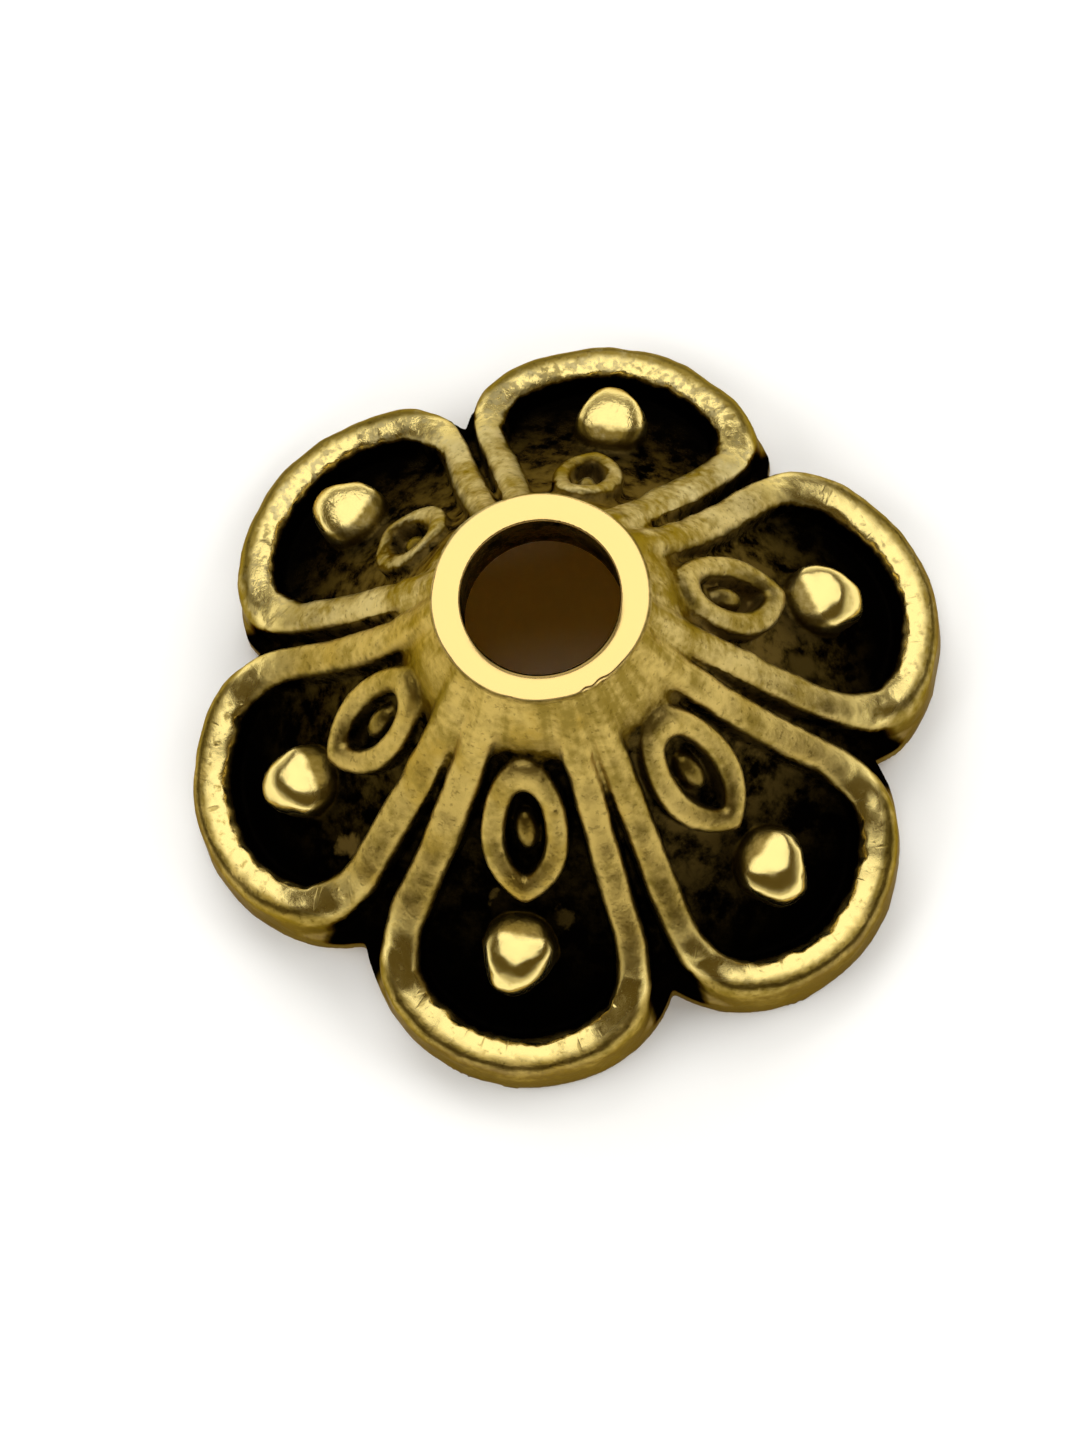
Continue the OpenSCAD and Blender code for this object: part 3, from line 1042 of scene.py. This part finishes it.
# The metal's masks: the mark, noise or mixed value that each follows, where it begins and is complete, and
# in the longer rows what it goes from and to. Places are in millimetres.
MASKS = {
    # The bore masks paint shade: the bore's wall is made black, in colour and in its reflections.
    "bore wall": ("past bore", 0.05, 0.02),
    "bore top": ("above top", -0.025, -0.045),
    "bore end": ("above bore end", -0.04, 0.0),
    "collar outside": ("past collar", -0.05, -0.015),
    "collar top": ("above top", -0.06, -0.045),
    "collar foot": ("above neck", -0.10, 0.0),
    "ornament": ("ornament", 0.05, 0.01),
    "ornament top": ("ragged depth", 0.10, 0.03),
    # ornament foot is partly patina and partly painted shade: the ornaments are darker low down, where they
    # meet the floor.
    "ornament foot": ("level", 0.18, 0.42, 0.0, 0.8),
    "seam": ("groove", 0.12, 0.04, 0.0, 0.07),
    "seam start": ("radius", 1.9, 2.3),
    "soot": ("radius", 3.0, 4.0, 0.05, 0.09),
    "recess": ("level", 0.09, 0.19),
    "recess top": ("above neck", 0.02, -0.04),
    "inside ridge": ("inset", 0.14, 0.26),
    # The web masks paint shade: the web between the lobes at the notches is made dark.
    "web": ("groove", 0.50, 0.30),
    "web depth": ("depth", 0.54, 0.44),
    "notches": ("notches", 0.64, 0.70),
    "rubbed": ("cover", 0.34, 0.54),
    "streaks": ("streaks", 0.36, 0.74),
    "streaks end": ("radius", 2.4, 1.7),
    # sunk paints shade: olive brown on the ridges' rounded edges, where they fall below the crest.
    "sunk": ("depth", 0.03, 0.10, 0.0, 0.5),
    # bevel paints a shadow line: olive on the outer part of the tip ridges, most on the less polished petals.
    "bevel": ("inset", 0.22, 0.12),
    "bevel start": ("radius", 3.5, 4.0),
    "bevel care": ("care", 1.0, 0.4, 0.6, 1.0),
    # These masks paint light by side: paler tan on the far petals and warmer honey on the near ones.
    "pale": ("tarnish", 0.3, 0.9),
    "warm": ("warmth", 0.47, 0.64),
    "warm tarnish": ("tarnish", 0.8, 0.2, 0.0, 0.65),
    "olive": ("spread", 0.44, 0.74),
    "pits": ("pitting", 0.58, 0.70, 0.0, 0.45),
    # This mask paints shade: brown just below the ridges' crests, with a ragged edge.
    "pits depth": ("ragged depth for shade", 0.03, 0.12, 0.0, 0.45),
    # The wall masks paint shade: darker brown low on the petals' outer walls, near the floor.
    "wall": ("inset", 0.12, 0.03),
    "wall mottle": ("mottle", 0.36, 0.60, 0.35, 1.0),
    "wall height": ("height", 0.75, 0.60),
    "hub": ("radius", 4.2, 2.4),
    "hub tarnish": ("tarnish", 0.1, 0.6, 0.12, 1.0),
    "dusty": ("patches", 0.44, 0.70),
    "hollow": ("inner", 0.10, 0.04),
    "resting rim": ("height", 0.03, 0.01),
    "under petal": ("inset", 0.0, 0.06),
    "brown": ("dark", 0.05, 0.45),
    "black": ("dark", 0.40, 0.90),
    "roughness": ("worn", 0.0, 1.0, 0.37, 0.23),
    "smooth care": ("care", 0.4, 1.0),
    "bump": ("smooth", 0.0, 1.0, 0.35, 0.06),
}
# How strongly each value counts in what it is mixed into
WEIGHTS = {
    "ragged": 0.12,
    "ragged pits": 0.6,
    "ragged flecks": 3.0,
    "care": 0.24,
    "nicks": 0.7,
    "broad mottle": 0.6,
    "fine mottle": 0.4,
    "tarnish": 0.12,
    "soiled_and_shaded": 0.16,
    "hub": 0.12,
    "dull hollow": 0.6,
    "dark roughness": 0.25,
    "fine bump": 0.6,
    "grain bump": 0.4,
    "nick bump": 0.6,
}
# Height of the bumps in the metal, in metres
BUMP_HEIGHT = 0.00003
# Spots on the floors where the patina is thin: place and size in millimetres, and strength
FLECKS = (
    {"place": (-2.34, -2.50), "size": 0.17, "strength": 1.0},
    {"place": (3.05, 0.75), "size": 0.26, "strength": 0.45},
    {"place": (-0.30, -2.95), "size": 0.10, "strength": 0.5},
    {"place": (0.62, -3.05), "size": 0.14, "strength": 0.35},
)
# The share of a fleck's size within which it is full
FLECK_CORE = 0.4


class Metal(Nodes):
    """The nodes of the cast metal, with its values by name. A mask's name is fed as the mask."""

    def __init__(self, tree, cap):
        super().__init__(tree)
        place = self.add("ShaderNodeTexCoord").outputs["Object"]
        self.plan = self.vector("MULTIPLY", place, (1.0, 1.0, 0.0))
        self.values = {name: self.add("ShaderNodeAttribute", attribute_name=name).outputs["Fac"]
                       for name in MARKS}
        top = cap.height / MM
        starts = {
            "above top": ("height", top),
            "above neck": ("height", top - cap.collar_thick / MM),
            "above bore end": ("height", top - cap.bore_length / MM),
            "past bore": ("radius", cap.bore_radius / MM),
            "past collar": ("radius", cap.collar_radius / MM),
        }
        for name, (mark, start) in starts.items():
            self.values[name] = self.less(self.values[mark], start)
        along = self.times(self.values["swing"], NOTCHES["round"])
        across = self.times(self.values["inset"], NOTCHES["across"])
        vectors = {
            "streaks": self.vector("NORMALIZE", self.plan),
            "notches": self.add("ShaderNodeCombineXYZ", {0: along, 1: across}).outputs[0],
        }
        for name, settings in NOISES.items():
            self.values[name] = self.noise(vectors.get(name, place), *settings)

    def feed(self, socket, value):
        """Links a socket or a named mask, or sets a plain value."""
        super().feed(socket, self.mask(value) if isinstance(value, str) else value)

    def mask(self, name):
        """A smooth step by one of the values."""
        value, *steps = MASKS[name]
        return self.ramp(self.values[value], *steps)

    def weigh(self, name, value):
        """A value by its weight."""
        return self.times(value, WEIGHTS[name])

    def darken(self):
        """Finds the black floors and grooves, the feet of the ornaments, the bore and the hollow. The bore's
        black and the dark webs at the notches are painted shade, and the feet's darkening is partly patina
        and partly painted shade.
        """
        v = self.values
        v["ragged"] = self.weigh("ragged", self.less(v["ragged"], 0.5))
        v["ragged depth"] = self.plus(v["depth"], v["ragged"])
        v["level"] = self.plus(v["ragged depth"], self.times("seam", "seam start"),
                               self.times(v["tarnish"], "soot"))
        v["bore"] = self.times("bore wall", "bore top", "bore end")
        within = self.most("inside ridge", self.times("web", "web depth"))
        floors = self.times("recess", "recess top", within, self.less(1.0, "ornament"))
        feet = self.times("ornament foot", "ornament")
        v["dark"] = self.most(self.plus(floors, feet, clamp=True), v["bore"])
        below = self.most("hollow", "resting rim")
        v["under"] = self.times(below, "under petal", self.less(1.0, v["bore"]))

    def rub(self):
        """Finds what is rubbed bright: the tips' ridges, the ornaments' tops and the collar's top."""
        v = self.values
        v["nicks"] = self.times("notches", v["polish"])
        v["cover"] = self.plus(v["fine"], self.weigh("care", self.less(v["care"], 0.5)))
        v["flat"] = self.times("collar top", self.less(1.0, "collar outside"))
        tips = self.less(self.times(v["polish"], "rubbed"), self.weigh("nicks", v["nicks"]))
        v["worn"] = self.most(tips, self.times("ornament", "ornament top"), v["flat"], clamp=True)
        v["smooth"] = self.times(v["worn"], "smooth care")

    def soil_and_shade(self):
        """Finds where tarnish gathers on the metal, where shade is painted on the ridges' sunk edges and the
        tips' outer bevels, and where the patina on the floors is thin.
        """
        v = self.values
        bevel = self.times("bevel", "bevel start", "bevel care")
        soiled_and_shaded = self.most(self.times("streaks", "streaks end"), "sunk", bevel)
        v["mottle"] = self.plus(self.weigh("broad mottle", v["broad"]), self.weigh("fine mottle", v["fine"]))
        v["spread"] = self.plus(v["mottle"], self.weigh("tarnish", v["tarnish"]),
                                self.weigh("soiled_and_shaded", soiled_and_shaded))
        v["ragged depth for shade"] = self.plus(v["depth"], self.weigh("ragged pits", v["ragged"]))
        hub = self.times("hub", "hub tarnish")
        v["patches"] = self.plus(v["patches"], self.weigh("hub", hub))
        v["dusty"] = self.times("dusty", hub)
        for fleck in FLECKS:
            middle = Vector((*fleck["place"], 0.0)) * MM
            off = self.times(self.vector("DISTANCE", self.plan, middle, "Value"), 1 / MM)
            edge = self.plus(off, self.weigh("ragged flecks", v["ragged"]))
            near = self.ramp(edge, fleck["size"], FLECK_CORE * fleck["size"], 0.0, fleck["strength"])
            v["dusty"] = self.most(v["dusty"], near)

    def colour(self, look):
        """Mixes the colours: tan with pale tan and honey in it, which paint light by side, and olive and
        brown, which also paint shade below the crests; the walls' painted shade; then gold, patina with the
        painted shade of the bore and the notches, and the hollow.
        """
        v = self.values
        clean = self.mix("pale", look.tan, look.pale)
        warm = self.mix(self.times("warm", "warm tarnish"), clean, look.honey)
        pitted_and_shaded = self.mix(self.most("pits", "pits depth"), self.mix("olive", warm, look.olive), look.brown)
        dull = self.mix(self.times("wall", "wall mottle", "wall height"), pitted_and_shaded, look.wall)
        metal = self.mix(v["flat"], self.mix(v["worn"], dull, look.gold), look.collar)
        stain_and_shade = self.mix(v["dusty"], look.patina_and_shade, look.thin_patina)
        aged_and_shaded = self.mix("black", self.mix("brown", metal, look.brown), stain_and_shade)
        return self.mix(v["under"], aged_and_shaded, look.inside)

    def tint(self, look):
        """Colour of the reflections: brown on the patina, and black in the bore, where it paints shade."""
        black = self.times(self.values["dark"], self.less(1.0, self.values["dusty"]))
        return self.mix(self.values["bore"], self.mix(black, look.sheen, look.brown), look.patina_and_shade)

    def metallic(self):
        """The hollow is duller than the rest."""
        return self.less(1.0, self.weigh("dull hollow", self.values["under"]))

    def roughness(self):
        """The patina and the collar's outside are rougher than the metal."""
        rim = self.times("collar outside", "collar foot")
        return self.plus("roughness", self.weigh("dark roughness", self.most(self.values["dark"], rim)))

    def bump(self):
        """Fine bumps, weaker on the rubbed metal, and the nicks."""
        v = self.values
        bumps = self.plus(self.weigh("fine bump", v["fine"]), self.weigh("grain bump", v["grain"]))
        height = self.less(bumps, self.weigh("nick bump", v["nicks"]))
        return self.add("ShaderNodeBump", {"Height": height, "Strength": "bump",
                                           "Distance": BUMP_HEIGHT}).outputs["Normal"]


class CAP_OT_metal(Operator):
    """Gives the casting its gold, its dull flanks and the dark patina in its recesses, and paints light and
    shade: black in the bore, dark webs at the notches, shade on the sunk edges and low walls, and paler and
    warmer sides
    """
    bl_idname = "cap.metal"
    bl_label = "Metal"

    def execute(self, context):
        look, body = context.scene.metal_look, context.scene.objects["cast_cap"]
        material, shader = new_material("antique_gold")
        metal = Metal(material.node_tree, context.scene.cap_sizes)
        metal.darken()
        metal.rub()
        metal.soil_and_shade()
        inputs = {"Base Color": metal.colour(look), "Metallic": metal.metallic(),
                  "Roughness": metal.roughness(), "Specular Tint": metal.tint(look), "Normal": metal.bump()}
        for name, value in inputs.items():
            metal.feed(shader.inputs[name], value)
        body.data.materials.clear()
        body.data.materials.append(material)
        return {"FINISHED"}


# The picture's size in pixels, and the camera's sensor in millimetres and near and far limits in metres
PICTURE = (1080, 1440)
SENSOR = 36.0
CLIP = (0.002, 10.0)
# Heights of the view at which the horizon begins to give way to the dim studio and has gone, from level
# (0) to straight up (1)
SKY = (0.10, 0.45)
# Side of the floor in metres and its roughness
FLOOR = {"size": 2.0, "roughness": 0.9}
# How far the lights over the cap stand to the camera's left, as a share of how far they stand behind it
LEFTWARD = 0.15
# The round soft lights: angle from straight up in degrees, distance and size in metres, and power
LIGHTS = {
    "softbox": {"zenith": 24, "distance": 0.30, "size": 0.46, "power": 0.62},
    "top_light": {"zenith": 27, "distance": 0.30, "size": 0.38, "power": 0.42},
    "floor_light": {"zenith": 55, "distance": 0.60, "size": 0.50, "power": 1.65},
}


class CAP_OT_stage(Operator):
    """Lays the pale floor, hangs the soft lights and sets the camera at the photograph's angle"""
    bl_idname = "cap.stage"
    bl_label = "Stage"

    def execute(self, context):
        studio = context.scene.studio_settings
        self.lay_floor(studio)
        near = Vector((math.cos(studio.side), math.sin(studio.side), 0.0))
        left = Vector((0, 0, 1)).cross(near)
        behind = left * LEFTWARD - near
        self.hang("softbox", behind).visible_diffuse = False
        fills = [self.hang("top_light", behind)]
        for i, side in enumerate((-near, near, left, -left)):
            fills.append(self.hang("floor_light", side, f"_{i + 1}"))
        for fill in fills:
            fill.visible_glossy = False
        self.set_camera(context.scene, studio, near)
        context.scene.view_settings.view_transform = "Standard"
        return {"FINISHED"}

    def lay_floor(self, studio):
        """Lays the floor and paints the studio round it."""
        floor = add_primitive("plane", "floor", size=FLOOR["size"])
        material, shader = new_material("pale_floor")
        shader.inputs["Base Color"].default_value = (*studio.floor_colour, 1.0)
        shader.inputs["Roughness"].default_value = FLOOR["roughness"]
        floor.data.materials.append(material)
        world = bpy.data.worlds.new("studio")
        world.use_nodes = True
        nodes = Nodes(world.node_tree)
        view = nodes.add("ShaderNodeTexCoord").outputs["Generated"]
        upward = nodes.add("ShaderNodeSeparateXYZ", {0: view}).outputs["Z"]
        shade = nodes.mix(nodes.ramp(upward, *SKY), studio.horizon, studio.dim)
        nodes.feed(world.node_tree.nodes["Background"].inputs["Color"], shade)
        bpy.context.scene.world = world

    def hang(self, kind, side, number=""):
        """Hangs a round soft light on one side of the cap, aimed at it."""
        light = LIGHTS[kind]
        zenith = math.radians(light["zenith"])
        aim = side.normalized() * math.sin(zenith) + Vector((0, 0, math.cos(zenith)))
        deselect()
        bpy.ops.object.light_add(type="AREA", location=aim * light["distance"],
                                 rotation=aim.to_track_quat("Z", "Y").to_euler())
        lamp = bpy.context.object
        lamp.name = kind + number
        lamp.data.shape = "DISK"
        lamp.data.size = light["size"]
        lamp.data.energy = light["power"]
        return lamp

    def set_camera(self, scene, studio, near):
        """Sets the camera on the near side, turned so that this side lies at its angle in the picture."""
        back = near * math.sin(studio.tilt) + Vector((0.0, 0.0, math.cos(studio.tilt)))
        down = (near - back * near.dot(back)).normalized()
        across = back.cross(down)
        right = down * math.cos(studio.near_angle) - across * math.sin(studio.near_angle)
        data = bpy.data.cameras.new("camera")
        data.sensor_width = SENSOR
        width, height = PICTURE
        data.lens = SENSOR * studio.distance / (studio.frame_width * height / width)
        data.clip_start, data.clip_end = CLIP
        camera = bpy.data.objects.new("camera", data)
        turned = Matrix((right, back.cross(right), back)).transposed().to_4x4()
        turned.translation = back * studio.distance - right * studio.off_centre
        camera.matrix_world = turned
        scene.collection.objects.link(camera)
        scene.camera = camera


STEPS = (CAP_OT_shell, CAP_OT_collar, CAP_OT_ridges, CAP_OT_almond_rings, CAP_OT_granules, CAP_OT_cast,
         CAP_OT_metal, CAP_OT_stage)
GROUPS = (("cap_sizes", CapSizes), ("petal_sizes", PetalSizes), ("ornament_sizes", OrnamentSizes),
          ("cast_settings", CastSettings), ("metal_look", MetalLook), ("studio_settings", StudioSettings))


class CAP_PT_panel(Panel):
    """Lists the sizes and the steps in order"""
    bl_idname = "CAP_PT_panel"
    bl_label = "Bead Cap"
    bl_space_type = "VIEW_3D"
    bl_region_type = "UI"
    bl_category = "Bead Cap"

    def draw(self, context):
        for name, group in GROUPS:
            box = self.layout.box()
            box.label(text=group.__doc__)
            for prop in group.__annotations__:
                box.prop(getattr(context.scene, name), prop)
        for step in STEPS:
            self.layout.operator(step.bl_idname)


def register():
    """Registers the classes and gives the scene its settings."""
    for name, group in GROUPS:
        bpy.utils.register_class(group)
        setattr(bpy.types.Scene, name, PointerProperty(type=group))
    for step in STEPS:
        bpy.utils.register_class(step)
    bpy.utils.register_class(CAP_PT_panel)


def unregister():
    """Takes back what register gave."""
    bpy.utils.unregister_class(CAP_PT_panel)
    for step in reversed(STEPS):
        bpy.utils.unregister_class(step)
    for name, group in reversed(GROUPS):
        delattr(bpy.types.Scene, name)
        bpy.utils.unregister_class(group)


def main():
    """Builds the cap and its stage, step by step."""
    register()
    bpy.ops.cap.shell()
    bpy.ops.cap.collar()
    bpy.ops.cap.ridges()
    bpy.ops.cap.almond_rings()
    bpy.ops.cap.granules()
    bpy.ops.cap.cast()
    bpy.ops.cap.metal()
    bpy.ops.cap.stage()


if __name__ == "__main__":
    main()
